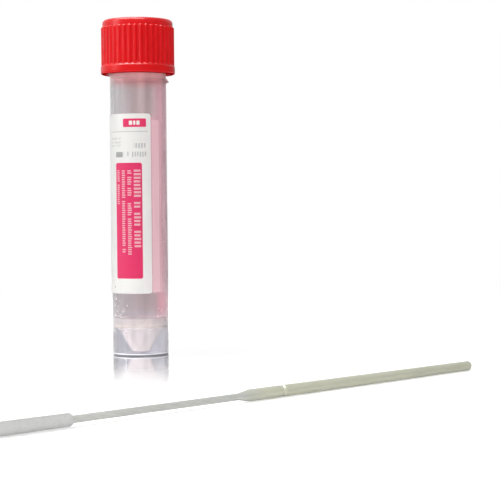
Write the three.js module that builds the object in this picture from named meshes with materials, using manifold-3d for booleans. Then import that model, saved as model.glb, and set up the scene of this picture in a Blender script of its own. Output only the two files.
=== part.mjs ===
// Specimen swab tube: a self-standing polypropylene tube with a conical bottom, closed by a ribbed
// screw cap, with its label, a little transport medium and the flocked swab that goes with it.
// Millimetres, +Z up. The tube stands and the swab lies on the plane z = 0, and the origin is the
// middle of their common footprint. The front of the label faces -Y.

import * as THREE from "three";
import { mergeVertices } from "three/addons/utils/BufferGeometryUtils.js";
import Module from "manifold-3d";

const wasm = await Module();
wasm.setup();

// ---------- Tube ----------
const TUBE_HEIGHT = 93.4; // foot to lip
const FOOT_RADIUS = 8.0; // outside, at the foot
const NECK_RADIUS = 8.1; // outside, at the lip: the mould's draft
const TUBE_WALL = 1.0;
const FOOT_EDGE = 0.3; // chamfer round the foot and the lip
const CONE_HALF_ANGLE = THREE.MathUtils.degToRad(30);
const CONE_TIP_RADIUS = 2.5; // flat end of the cone, outside
const CONE_TIP_CLEARANCE = 1.3; // the flat end above the surface the tube stands on

// ---------- Screw thread, right-handed, single start ----------
const THREAD_LEAD = 5.0; // rise in one turn
const THREAD_PROUD = 0.7; // how far the ridge stands out of the wall
const THREAD_ROOT = 1.6; // height of the ridge at the wall
const THREAD_CREST = 0.5; // height of the ridge at its crest
const THREAD_SINK = 0.3; // root of a ridge, inside the wall that carries it
const THREAD_DROP = 15.6; // flat underside of the tube's ridge, where it starts, below the lip
const THREAD_MARGIN = 2.0; // top of the tube's ridge, where it ends, below the lip
const THREAD_START_ANGLE = THREE.MathUtils.degToRad(-14);
const THREAD_RUN_IN = THREE.MathUtils.degToRad(12); // a ridge grows to its height over this angle
const THREAD_SIDE_GAP = 0.3; // crest to the facing wall
const THREAD_FLANK_GAP = 0.2; // bearing flank to bearing flank
const CAP_THREAD_HEIGHT = 1.1; // height of the cap's ridge at its wall
const CAP_THREAD_LOW_MARGIN = 0.5; // foot of the cap's ridge, where it starts, above the cap's edge
const CAP_THREAD_TOP_MARGIN = 4.05; // top of the cap's ridge, where it ends, below the cap's ceiling

// ---------- Screw cap ----------
const CAP_HEIGHT = 15.6;
const CAP_WALL = 1.0; // between the ribs
const CAP_TOP_THICKNESS = 1.45;
const CAP_RIM_ROUND = 1.3;
const CAP_EDGE_ROUND = 0.6; // lower outer edge
const BAND_HEIGHT = 2.2; // plain band under the ribs
const BAND_PROUD = 0.55; // band outside the wall between the ribs
const BAND_CHAMFER = 0.35;
const RIB_COUNT = 40;
const RIB_RADIUS = 0.5; // each rib is a rounded rod, half sunk in the wall
const RIB_SUNK = 0.05; // rib crest inside the band's face
const RIB_TOP_MARGIN = 2.0; // rib's rounded end below the top of the cap

// ---------- Sealing ring, between the lip and the cap ----------
const SEAL_THICKNESS = 1.05;
const SEAL_OVERHANG = 0.35; // ring inside the bore of the tube
const SEAL_GAP = 0.1; // to the lip, the cap's top and the cap's wall

// ---------- Label ----------
const LABEL_BOTTOM = 17.9;
const LABEL_HEIGHT = 51.1;
const LABEL_START = THREE.MathUtils.degToRad(52.8); // one edge, seen from above, from +X towards +Y
const LABEL_ARC = THREE.MathUtils.degToRad(245.6);
const LABEL_THICKNESS = 0.12;
const LABEL_CORNER = 0.8;
const LABEL_GAP = 0.05; // glue line

// ---------- Transport medium ----------
const MEDIUM_LEVEL = 10.5; // above the surface the tube stands on
const MEDIUM_GAP = 0.05; // to the wall

// ---------- Swab ----------
const SWAB_LENGTH = 150;
const BREAK_AT = 80; // breakpoint, from the end of the tip
const FLOCK_LENGTH = 20.5;
const FLOCK_RADIUS = 1.6; // at its fullest
const FLOCK_SHOULDER_RADIUS = 1.4;
const FLOCK_SHOULDER_ROUND = 0.5;
const FLOCK_COVER = 1.2; // flock over the end of the shaft
const FLOCK_GAP = 0.05; // glue line
const THIN_RADIUS = 0.75; // shaft behind the tip
const NECK_LENGTH = 9.5; // thick part before the breakpoint
const NECK_TAPER = 3.5; // from the thin shaft to the thick part
const NOTCH_LENGTH = 1.2;
const NOTCH_RADIUS = 1.05;
const HANDLE_RADIUS = 1.33; // at the breakpoint
const HANDLE_END_RADIUS = 1.2;

// ---------- How the set lies, from the tube's axis ----------
const SWAB_TIP_X = -18;
const SWAB_TIP_Y = -154;
const SWAB_HEADING = THREE.MathUtils.degToRad(45);

// ---------- Fineness ----------
const TUBE_SEGMENTS = 64;
const CAP_SEGMENTS = 2 * RIB_COUNT;
const SWAB_SEGMENTS = 20;
const RIB_SEGMENTS = 8;
const STEP_ANGLE = THREE.MathUtils.degToRad(7.5); // along a ridge or the label
const ROUND_STEPS = 4; // edges round a quarter turn

// ---------- Materials ----------
const frosted = { color: 0xd9d6d8, roughness: 0.35, metalness: 0, transparent: true, opacity: 0.5 };
const finishes = {
  tube_body: frosted,
  screw_cap: { color: 0xd81f26, roughness: 0.4, metalness: 0 },
  sealing_ring: { color: 0xe9e7e2, roughness: 0.6, metalness: 0 },
  label: { color: 0xf3f0ec, roughness: 0.55, metalness: 0 },
  medium: { color: 0xeccfd2, roughness: 0.1, metalness: 0, transparent: true, opacity: 0.7 },
  swab_shaft: { color: 0xc9cab9, roughness: 0.45, metalness: 0 },
  swab_tip: { color: 0xf1f1ee, roughness: 0.95, metalness: 0 },
};

// ---------- Sizes that follow from the ones above ----------
const outerRadiusAt = (z) => FOOT_RADIUS + ((NECK_RADIUS - FOOT_RADIUS) * z) / TUBE_HEIGHT;
const boreRadiusAt = (z) => outerRadiusAt(z) - TUBE_WALL;
const threadStart = TUBE_HEIGHT - THREAD_DROP;
const threadTurns = (THREAD_DROP - THREAD_MARGIN - THREAD_ROOT) / THREAD_LEAD;
const threadRadius = outerRadiusAt(threadStart);
const capInnerRadius = NECK_RADIUS + THREAD_PROUD + THREAD_SIDE_GAP;
const capWallRadius = capInnerRadius + CAP_WALL;
const capBandRadius = capWallRadius + BAND_PROUD;
const sealBottom = TUBE_HEIGHT + SEAL_GAP;
const capCeiling = sealBottom + SEAL_THICKNESS + SEAL_GAP;
const capTop = capCeiling + CAP_TOP_THICKNESS;
const capBottom = capTop - CAP_HEIGHT;
const capThreadFace = capBottom + CAP_THREAD_LOW_MARGIN + CAP_THREAD_HEIGHT; // bearing face, at its start
const capThreadTurns = (capCeiling - CAP_THREAD_TOP_MARGIN - capThreadFace) / THREAD_LEAD;
const capThreadLeadIn = (capThreadFace + THREAD_FLANK_GAP - threadStart) / THREAD_LEAD; // in turns

// The cone's wall is as thick as the tube's, square to its face.
const coneSlope = Math.tan(CONE_HALF_ANGLE);
const coneWallAcross = TUBE_WALL / Math.cos(CONE_HALF_ANGLE);
const coneFloor = CONE_TIP_CLEARANCE + TUBE_WALL;
const coneInnerRadiusAt = (z) =>
  CONE_TIP_RADIUS + (z - CONE_TIP_CLEARANCE) * coneSlope - coneWallAcross;
const skirtInnerRadius = FOOT_RADIUS - TUBE_WALL;
const coneMeetsSkirt = CONE_TIP_CLEARANCE + (skirtInnerRadius - CONE_TIP_RADIUS) / coneSlope;
const coneMeetsBore = coneFloor + (boreRadiusAt(coneFloor) - coneInnerRadiusAt(coneFloor)) / coneSlope;

// ---------- Helpers ----------
const point = (r, z) => new THREE.Vector2(r, z);

// Points on a quarter circle or less, from one angle to another, in degrees.
function arc(centreR, centreZ, radius, from, to, steps = ROUND_STEPS) {
  const points = [];
  for (let i = 0; i <= steps; i += 1) {
    const angle = THREE.MathUtils.degToRad(from + ((to - from) * i) / steps);
    points.push(point(centreR + radius * Math.cos(angle), centreZ + radius * Math.sin(angle)));
  }
  return points;
}

// A body of revolution about Z. The profile goes round it with the material on its left.
const turned = (profile, segments) => new THREE.LatheGeometry(profile, segments).rotateX(Math.PI / 2);

// The same about X, for the swab.
const turnedAlongX = (profile, segments) =>
  new THREE.LatheGeometry(profile, segments).rotateZ(-Math.PI / 2);

// Sweeps a flat section round the Z axis: its x goes outwards from the radius and its y upwards.
// fit(x, y, along) may change the section, with along running from 0 at the start to 1 at the end.
function swept(section, { radius, start, sweep, rise = 0, fit }) {
  const steps = Math.max(2, Math.ceil(sweep / STEP_ANGLE));
  const geometry = new THREE.ExtrudeGeometry(section, { depth: 1, steps, bevelEnabled: false });
  const position = geometry.attributes.position;
  for (let i = 0; i < position.count; i += 1) {
    const along = 1 - position.getZ(i); // backwards, which keeps the faces pointing out
    const [out, up] = fit(position.getX(i), position.getY(i), along);
    const angle = start + sweep * along;
    const r = radius + out;
    position.setXYZ(i, r * Math.cos(angle), r * Math.sin(angle), up + rise * along);
  }
  return geometry;
}

function solidFrom(geometry) {
  const bare = geometry.clone();
  bare.deleteAttribute("normal");
  bare.deleteAttribute("uv");
  const merged = mergeVertices(bare, 1e-4);
  const vertProperties = new Float32Array(merged.attributes.position.array);
  const triVerts = new Uint32Array(merged.index.array);
  return new wasm.Manifold(new wasm.Mesh({ numProp: 3, vertProperties, triVerts }));
}

function geometryFrom(solid) {
  const { vertProperties, triVerts } = solid.getMesh();
  const geometry = new THREE.BufferGeometry();
  geometry.setAttribute("position", new THREE.BufferAttribute(vertProperties, 3));
  geometry.setIndex(new THREE.BufferAttribute(triVerts, 1));
  geometry.computeVertexNormals();
  return geometry;
}

const joined = (geometries) => geometryFrom(geometries.map(solidFrom).reduce((a, b) => a.add(b)));

function piece(name, geometry) {
  const mesh = new THREE.Mesh(geometry, new THREE.MeshStandardMaterial(finishes[name]));
  mesh.name = name;
  return mesh;
}

// ---------- Tube body ----------
function tubeShell() {
  const profile = [
    point(0, CONE_TIP_CLEARANCE),
    point(CONE_TIP_RADIUS, CONE_TIP_CLEARANCE),
    point(skirtInnerRadius, coneMeetsSkirt),
    point(skirtInnerRadius, FOOT_EDGE / 2),
    point(skirtInnerRadius + FOOT_EDGE / 2, 0),
    point(FOOT_RADIUS - FOOT_EDGE, 0),
    point(FOOT_RADIUS, FOOT_EDGE),
    point(threadRadius, threadStart),
    point(NECK_RADIUS, TUBE_HEIGHT - FOOT_EDGE),
    point(NECK_RADIUS - FOOT_EDGE, TUBE_HEIGHT),
    point(boreRadiusAt(TUBE_HEIGHT) + FOOT_EDGE / 2, TUBE_HEIGHT),
    point(boreRadiusAt(TUBE_HEIGHT), TUBE_HEIGHT - FOOT_EDGE / 2),
    point(boreRadiusAt(coneMeetsBore), coneMeetsBore),
    point(coneInnerRadiusAt(coneFloor), coneFloor),
    point(0, coneFloor),
  ];
  return turned(profile, TUBE_SEGMENTS);
}

// A ridge's full height is reached after the run-in and is left before the end.
function runIn(along, sweep) {
  const share = THREAD_RUN_IN / sweep;
  return Math.min(1, along / share, (1 - along) / share);
}

function tubeThread() {
  const section = new THREE.Shape([
    point(-THREAD_SINK, 0),
    point(THREAD_PROUD, 0),
    point(THREAD_PROUD, THREAD_CREST),
    point(0, THREAD_ROOT),
    point(-THREAD_SINK, THREAD_ROOT),
  ]);
  const sweep = 2 * Math.PI * threadTurns;
  return swept(section, {
    radius: threadRadius,
    start: THREAD_START_ANGLE,
    sweep,
    rise: THREAD_LEAD * threadTurns,
    fit: (x, y, along) => [x > 0 ? x * runIn(along, sweep) : x, y + threadStart],
  });
}

const makeTubeBody = () => piece("tube_body", joined([tubeShell(), tubeThread()]));

// ---------- Screw cap ----------
function capShell() {
  const profile = [
    point(0, capCeiling),
    point(capInnerRadius, capCeiling),
    point(capInnerRadius, capBottom + CAP_EDGE_ROUND / 2),
    point(capInnerRadius + CAP_EDGE_ROUND / 2, capBottom),
    ...arc(capBandRadius - CAP_EDGE_ROUND, capBottom + CAP_EDGE_ROUND, CAP_EDGE_ROUND, -90, 0, 3),
    point(capBandRadius, capBottom + BAND_HEIGHT),
    point(capWallRadius, capBottom + BAND_HEIGHT + BAND_CHAMFER),
    ...arc(capWallRadius - CAP_RIM_ROUND, capTop - CAP_RIM_ROUND, CAP_RIM_ROUND, 0, 90),
    point(0, capTop),
  ];
  return turned(profile, CAP_SEGMENTS);
}

function capRib(index) {
  const bottom = capBottom + BAND_HEIGHT / 2;
  const top = capTop - RIB_TOP_MARGIN;
  const profile = [
    point(0, bottom),
    point(RIB_RADIUS, bottom),
    ...arc(0, top - RIB_RADIUS, RIB_RADIUS, 0, 90, 2),
  ];
  const angle = (2 * Math.PI * index) / RIB_COUNT;
  const distance = capBandRadius - RIB_SUNK - RIB_RADIUS;
  return turned(profile, RIB_SEGMENTS)
    .rotateZ(angle)
    .translate(distance * Math.cos(angle), distance * Math.sin(angle), 0);
}

// The cap's ridge runs under the tube's, on the same helix, and bears on its flat underside.
function capThread() {
  const reach = capInnerRadius - (NECK_RADIUS + THREAD_SIDE_GAP);
  const section = new THREE.Shape([
    point(-reach, -THREAD_CREST),
    point(0, -CAP_THREAD_HEIGHT),
    point(THREAD_SINK, -CAP_THREAD_HEIGHT),
    point(THREAD_SINK, 0),
    point(-reach, 0),
  ]);
  const sweep = 2 * Math.PI * capThreadTurns;
  return swept(section, {
    radius: capInnerRadius,
    start: THREAD_START_ANGLE + 2 * Math.PI * capThreadLeadIn,
    sweep,
    rise: THREAD_LEAD * capThreadTurns,
    fit: (x, y, along) => [x < 0 ? x * runIn(along, sweep) : x, y + capThreadFace],
  });
}

function makeScrewCap() {
  const ribs = Array.from({ length: RIB_COUNT }, (_, index) => capRib(index));
  return piece("screw_cap", joined([capShell(), ...ribs, capThread()]));
}

// ---------- Sealing ring ----------
function makeSealingRing() {
  const inner = boreRadiusAt(TUBE_HEIGHT) - SEAL_OVERHANG;
  const outer = capInnerRadius - SEAL_GAP;
  const profile = [
    point(inner, sealBottom),
    point(outer, sealBottom),
    point(outer, sealBottom + SEAL_THICKNESS),
    point(inner, sealBottom + SEAL_THICKNESS),
    point(inner, sealBottom),
  ];
  return piece("sealing_ring", turned(profile, TUBE_SEGMENTS));
}

// ---------- Label ----------
function makeLabel() {
  const section = new THREE.Shape([
    point(0, 0),
    point(LABEL_THICKNESS, 0),
    point(LABEL_THICKNESS, 1),
    point(0, 1),
  ]);
  const radius = NECK_RADIUS + LABEL_GAP;
  const length = LABEL_ARC * radius;
  // Near its ends the label is shorter, by its rounded corners.
  const fit = (x, y, along) => {
    const fromEnd = Math.min(along, 1 - along) * length;
    const short = Math.max(0, LABEL_CORNER - fromEnd);
    const inset = LABEL_CORNER - Math.sqrt(LABEL_CORNER ** 2 - short ** 2);
    return [x, LABEL_BOTTOM + inset + y * (LABEL_HEIGHT - 2 * inset)];
  };
  return piece("label", swept(section, { radius, start: LABEL_START, sweep: LABEL_ARC, fit }));
}

// ---------- Transport medium ----------
function makeMedium() {
  const bottom = coneFloor + MEDIUM_GAP;
  const sideGap = MEDIUM_GAP / Math.cos(CONE_HALF_ANGLE);
  const wallRadius = Math.min(coneInnerRadiusAt(MEDIUM_LEVEL), boreRadiusAt(MEDIUM_LEVEL));
  const profile = [
    point(0, bottom),
    point(coneInnerRadiusAt(bottom) - sideGap, bottom),
    point(wallRadius - sideGap, MEDIUM_LEVEL),
    point(0, MEDIUM_LEVEL),
  ];
  return piece("medium", turned(profile, TUBE_SEGMENTS));
}

// ---------- Swab ----------
function makeSwabShaft() {
  const neckEnd = BREAK_AT - NOTCH_LENGTH / 2;
  const neckStart = neckEnd - NECK_LENGTH;
  const endRound = HANDLE_END_RADIUS / 2;
  const profile = [
    point(0, FLOCK_COVER),
    point(THIN_RADIUS / 2, FLOCK_COVER),
    point(THIN_RADIUS, FLOCK_COVER + THIN_RADIUS / 2),
    point(THIN_RADIUS, neckStart - NECK_TAPER),
    point(HANDLE_RADIUS, neckStart),
    point(HANDLE_RADIUS, neckEnd),
    point(NOTCH_RADIUS, neckEnd + NOTCH_LENGTH / 3),
    point(NOTCH_RADIUS, neckEnd + (2 * NOTCH_LENGTH) / 3),
    point(HANDLE_RADIUS, neckEnd + NOTCH_LENGTH),
    ...arc(HANDLE_END_RADIUS - endRound, SWAB_LENGTH - endRound, endRound, 0, 90, 3),
    point(0, SWAB_LENGTH),
  ];
  return piece("swab_shaft", turnedAlongX(profile, SWAB_SEGMENTS));
}

function makeSwabTip() {
  const bore = THIN_RADIUS + FLOCK_GAP;
  const boreEnd = FLOCK_COVER - FLOCK_GAP;
  const shoulder = FLOCK_LENGTH - FLOCK_SHOULDER_ROUND;
  const profile = [
    ...arc(0, FLOCK_RADIUS, FLOCK_RADIUS, -90, 0, 6),
    ...arc(FLOCK_SHOULDER_RADIUS - FLOCK_SHOULDER_ROUND, shoulder, FLOCK_SHOULDER_ROUND, 0, 90, 3),
    point(bore, FLOCK_LENGTH),
    point(bore, boreEnd),
    point(0, boreEnd),
  ];
  return piece("swab_tip", turnedAlongX(profile, SWAB_SEGMENTS));
}

// The swab lies on the fullest part of its tip and on the end of its handle.
function makeSwab() {
  const restOnTip = FLOCK_RADIUS;
  const restOnHandle = SWAB_LENGTH - HANDLE_END_RADIUS / 2;
  const dip = Math.atan((FLOCK_RADIUS - HANDLE_END_RADIUS) / (restOnHandle - restOnTip));
  const swab = new THREE.Group();
  swab.add(makeSwabShaft(), makeSwabTip());
  swab.rotation.set(0, dip, SWAB_HEADING, "ZYX");
  swab.position.set(SWAB_TIP_X, SWAB_TIP_Y, FLOCK_RADIUS * Math.cos(dip) + restOnTip * Math.sin(dip));
  return swab;
}

// ---------- The set ----------
const group = new THREE.Group();
group.add(makeTubeBody(), makeScrewCap(), makeSealingRing(), makeLabel(), makeMedium(), makeSwab());

const footprint = new THREE.Box3().setFromObject(group, true).getCenter(new THREE.Vector3());
group.position.set(-footprint.x, -footprint.y, 0);
group.updateMatrixWorld(true);

export default group;
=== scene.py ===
# %% [markdown]
# # A specimen tube and its swab
# A transport tube is a frosted polypropylene moulding with a ribbed screw cap, a paper label and a
# little pink medium in its cone. Its swab is a plastic stick with a flocked tip, and lies in front.
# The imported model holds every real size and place, so the lesson starts by loading it.

# %% Load the model
import math

import bmesh
import bpy
import numpy as np
from mathutils import Matrix, Vector


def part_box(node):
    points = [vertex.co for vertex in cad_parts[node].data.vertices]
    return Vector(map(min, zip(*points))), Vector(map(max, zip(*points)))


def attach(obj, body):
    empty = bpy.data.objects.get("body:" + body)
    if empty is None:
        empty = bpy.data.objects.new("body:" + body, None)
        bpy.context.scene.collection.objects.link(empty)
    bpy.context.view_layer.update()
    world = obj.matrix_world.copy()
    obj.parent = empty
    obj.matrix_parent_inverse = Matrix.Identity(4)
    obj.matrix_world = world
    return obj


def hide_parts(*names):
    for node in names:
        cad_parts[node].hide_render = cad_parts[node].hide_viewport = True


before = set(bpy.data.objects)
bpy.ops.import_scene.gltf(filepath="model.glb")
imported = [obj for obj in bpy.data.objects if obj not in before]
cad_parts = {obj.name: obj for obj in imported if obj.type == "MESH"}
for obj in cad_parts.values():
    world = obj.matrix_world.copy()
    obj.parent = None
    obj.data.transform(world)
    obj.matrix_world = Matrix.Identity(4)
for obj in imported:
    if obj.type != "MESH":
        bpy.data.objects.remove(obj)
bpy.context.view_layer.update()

# %% [markdown]
# The drawings below are in millimetres, as a mould maker's are. The tube and its cap share one upright
# axis, which is the middle of the cap's box, and heights are counted from the bench.

# %% Units and the tube's axis
MM = 0.001
cap_low, cap_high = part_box("screw_cap")
axis = Vector(((cap_low.x + cap_high.x) / 2, (cap_low.y + cap_high.y) / 2, 0))
CAP_BOTTOM = cap_low.z / MM
CAP_TOP = cap_high.z / MM
TUBE_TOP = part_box("tube_body")[1].z / MM
print(f"axis at {axis.x:.4f}, {axis.y:.4f} m, cap from {CAP_BOTTOM:.1f} to {CAP_TOP:.1f} mm")

# %% [markdown]
# Three helpers draw everything that is round. `rounded` walks along the corners of a section and puts
# an arc at each one that has a radius. `spaced` adds points where a later step has to bend a wall.
# `turned` spins the section about an axis, and a point on the axis becomes a closed pole.

# %% Helpers for turned pieces
ARC_STEPS = 6
ON_AXIS = 1e-6


def rounded(corners):
    """Points along (r, z, radius) corners, in mm, with an arc at each corner that has a radius."""
    points = []
    for index, (r, z, radius) in enumerate(corners):
        corner = Vector((r, z))
        if radius == 0:
            points.append(corner)
            continue
        back = (Vector(corners[index - 1][:2]) - corner).normalized()
        ahead = (Vector(corners[(index + 1) % len(corners)][:2]) - corner).normalized()
        half = back.angle(ahead) / 2
        centre = corner + (back + ahead).normalized() * radius / math.sin(half)
        first = (corner + back * radius / math.tan(half) - centre).normalized()
        last = (corner + ahead * radius / math.tan(half) - centre).normalized()
        for step in range(ARC_STEPS + 1):
            points.append(centre + first.slerp(last, step / ARC_STEPS) * radius)
    return points


def spaced(points, low, high, step):
    """Adds points at least every step, in mm, to the lines that lie between two heights."""
    dense = [points[0]]
    for start, end in zip(points, points[1:]):
        for share in cuts_between(start.y, end.y, low, high, step):
            dense.append(start.lerp(end, share))
        dense.append(end)
    return dense


def cuts_between(from_z, to_z, low, high, step):
    """Shares of a line from one height to another at which it is cut."""
    rise = to_z - from_z
    if abs(rise) < step:
        return []
    heights = np.arange(low, high + step / 2, step)
    shares = [(z - from_z) / rise for z in heights]
    return sorted(share for share in shares if 0.001 < share < 0.999)


def mesh_object(name, bm):
    """A smooth object with its faces pointing out and its hard edges kept."""
    bmesh.ops.recalc_face_normals(bm, faces=bm.faces[:])
    if bm.calc_volume(signed=True) < 0:
        bmesh.ops.reverse_faces(bm, faces=bm.faces[:])
    mesh = bpy.data.meshes.new(name)
    bm.to_mesh(mesh)
    bm.free()
    mesh.shade_smooth()
    made = bpy.data.objects.new(name, mesh)
    bpy.context.scene.collection.objects.link(made)
    return made


def turned(name, points, segments, place=Matrix.Translation(axis)):
    """A closed piece turned about Z from a section in mm, then put in its place."""
    bm = bmesh.new()
    rings = []
    for r, z in points:
        count = 1 if r < ON_AXIS else segments
        turns = [2 * math.pi * i / segments for i in range(count)]
        spots = [Vector((r * math.cos(a), r * math.sin(a), z)) * MM for a in turns]
        rings.append([bm.verts.new(place @ spot) for spot in spots])
    if len(rings[0]) > 1:
        rings.append(rings[0])
    for lower, upper in zip(rings, rings[1:]):
        for i in range(segments):
            j = (i + 1) % segments
            corners = [lower[i % len(lower)], lower[j % len(lower)]]
            corners += [upper[j % len(upper)], upper[i % len(upper)]]
            bm.faces.new(list(dict.fromkeys(corners)))
    return mesh_object(name, bm)


# %% [markdown]
# Every node tree in the lesson, for shapes or for finishes, is built with one function. It adds a
# node, sets its own settings, and fills its inputs with plain values or with what feeds them. Most
# nodes are of Blender's shader family, also in shape trees, so a kind without a family is one of it.
# A node that calculates has its operation written after its kind, as in `Math ADD`.

# %% Helper for nodes
def add(tree, kind, inputs=(), **settings):
    """Adds a node. Inputs are a list in order or a dict by name, of values, sockets or nodes."""
    kind, _, operation = kind.partition(" ")
    made = tree.nodes.new(kind if "Node" in kind else "ShaderNode" + kind)
    if operation:
        settings["operation"] = operation
    for name, value in settings.items():
        setattr(made, name, value)
    pairs = inputs.items() if isinstance(inputs, dict) else enumerate(inputs)
    for key, value in pairs:
        source = value.outputs[0] if isinstance(value, bpy.types.Node) else value
        if isinstance(source, bpy.types.NodeSocket):
            tree.links.new(source, made.inputs[key])
        elif source is not None:
            made.inputs[key].default_value = source
    return made


# %% [markdown]
# A shape tree gets its sizes through named inputs, in millimetres, so that the same tree can make a
# ridge outside the tube and inside the cap. After it has run once, its result is kept as a plain mesh
# and the modifier goes, because what is handed on has to stand without it.

# %% Helpers for shape trees
def shape_tree(name, vectors, numbers, counts=()):
    """A Geometry Nodes tree with named inputs, its input node and the socket that ends it."""
    tree = bpy.data.node_groups.new(name, "GeometryNodeTree")
    kinds = {"Geometry": ["Geometry"], "Vector": vectors, "Float": numbers, "Int": counts}
    kinds["Material"] = ["Material"]
    for kind, titles in kinds.items():
        for title in titles:
            tree.interface.new_socket(title, in_out="INPUT", socket_type="NodeSocket" + kind)
    tree.interface.new_socket("Geometry", in_out="OUTPUT", socket_type="NodeSocketGeometry")
    return tree, add(tree, "NodeGroupInput").outputs, add(tree, "NodeGroupOutput").inputs[0]


def end_tree(tree, material, end, *shapes):
    """Ends a tree with its shapes joined, as plain faces with one material."""
    whole = add(tree, "GeometryNodeJoinGeometry")
    for shape in shapes:
        tree.links.new(shape, whole.inputs[0])
    real = add(tree, "GeometryNodeRealizeInstances", [whole])
    painted = add(tree, "GeometryNodeSetMaterial", {"Geometry": real, "Material": material})
    tree.links.new(painted.outputs[0], end)


def polar(tree, centre):
    """A point's place about an upright axis, in mm: its parts, its level arm, its radius and angle."""
    here = add(tree, "GeometryNodeInputPosition")
    offset = add(tree, "VectorMath SUBTRACT", [here, centre])
    in_mm = add(tree, "VectorMath SCALE", {"Vector": offset, "Scale": 1 / MM})
    part = add(tree, "SeparateXYZ", [in_mm]).outputs
    level = add(tree, "CombineXYZ", [part["X"], part["Y"]])
    radius = add(tree, "VectorMath LENGTH", [level]).outputs["Value"]
    angle = add(tree, "Math ARCTAN2", [part["Y"], part["X"]])
    return part, level, radius, angle


def pushed(tree, geometry, chosen, level, reach):
    """The chosen points moved outwards by a distance in mm."""
    metres = add(tree, "Math MULTIPLY", [reach, MM])
    outward = add(tree, "VectorMath NORMALIZE", [level])
    push = add(tree, "VectorMath SCALE", {"Vector": outward, "Scale": metres})
    return add(tree, "GeometryNodeSetPosition", {
        "Geometry": geometry, "Selection": chosen, "Offset": push,
    })


def grow(obj, tree, values):
    """Runs a tree on an object and keeps what it makes as the object's own mesh."""
    modifier = obj.modifiers.new(tree.name, "NODES")
    modifier.node_group = tree
    for item in tree.interface.items_tree:
        if item.in_out == "INPUT" and item.name in values:
            modifier[item.identifier] = values[item.name]
    evaluated = obj.evaluated_get(bpy.context.evaluated_depsgraph_get())
    mesh = bpy.data.meshes.new_from_object(evaluated)
    obj.modifiers.clear()
    obj.data = mesh
    mesh.name = obj.name
    return obj


# %% [markdown]
# # Finishes
# Colours are written as a printer or a moulder would name them, in hex, and turned into the linear
# light that a renderer adds up. Patterns read the object's own coordinates, which are in metres, so
# each scale is worked out from a real size in millimetres. No real surface has a single colour:
# `mottled` lets one wander between two. `moulded_skin` is the fine grain that a mould leaves, felt as
# small bumps and seen as an uneven gloss.

# %% Helpers for finishes
GRAIN_DEPTH = 0.01


def linear(code, alpha=1.0):
    """A linear colour from an sRGB hex code."""
    parts = [int(code[i:i + 2], 16) / 255 for i in (1, 3, 5)]
    light = [p / 12.92 if p <= 0.04045 else ((p + 0.055) / 1.055) ** 2.4 for p in parts]
    return (*light, alpha)


def finish_tree(name):
    """A new material, its node tree and its output node."""
    made = bpy.data.materials.new(name)
    made.use_nodes = True
    made.node_tree.nodes.clear()
    return made, made.node_tree, add(made.node_tree, "OutputMaterial")


def layered(tree, colour, layers):
    """A colour with others laid over it, each as far as its mask. Each is a hex code or a socket."""
    for mask, over in layers:
        under, over = [linear(c) if isinstance(c, str) else c for c in (colour, over)]
        mix = add(tree, "Mix", {0: mask, 6: under, 7: over}, data_type="RGBA")
        colour = mix.outputs[2]
    return colour


def all_of(tree, *masks):
    """The mask of where several masks overlap."""
    overlap = masks[0]
    for mask in masks[1:]:
        overlap = add(tree, "Math MULTIPLY", [overlap, mask])
    return overlap


def coordinates(tree, centre, stretch=(1, 1, 1)):
    """Object coordinates moved so that a pattern is centred on a piece, and stretched."""
    place = add(tree, "TexCoord").outputs["Object"]
    moved = {"Vector": place, "Location": [-c * s for c, s in zip(centre, stretch)], "Scale": stretch}
    return add(tree, "Mapping", moved)


def patches(tree, size, detail=2.0, centre=axis, stretch=(1, 1, 1)):
    """A pattern from 0 to 1 that repeats about every so many mm."""
    place = coordinates(tree, centre, stretch)
    noise = add(tree, "TexNoise", {"Vector": place, "Scale": 1 / (size * MM), "Detail": detail})
    return noise.outputs["Fac"]


def mottled(tree, colours, *pattern):
    """A colour that wanders between two, after a pattern."""
    return layered(tree, colours[0], [(patches(tree, *pattern), colours[1])])


def moulded_skin(tree, pattern, smooth, rough, strength):
    """The roughness and the bumps of a moulded skin, by the names of a shader's inputs."""
    grain = patches(tree, *pattern)
    return {
        "Roughness": add(tree, "MapRange", {"Value": grain, "To Min": smooth, "To Max": rough}),
        "Normal": add(tree, "Bump", {
            "Height": grain, "Strength": strength, "Distance": GRAIN_DEPTH * MM,
        }),
    }


def plain_finish(name, colours, pattern, settings):
    """A finish of one mottled colour, with the settings of its shader."""
    made, tree, output = finish_tree(name)
    shader = add(tree, "BsdfPrincipled", {"Base Color": mottled(tree, colours, *pattern), **settings})
    tree.links.new(shader.outputs[0], output.inputs["Surface"])
    return made
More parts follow.
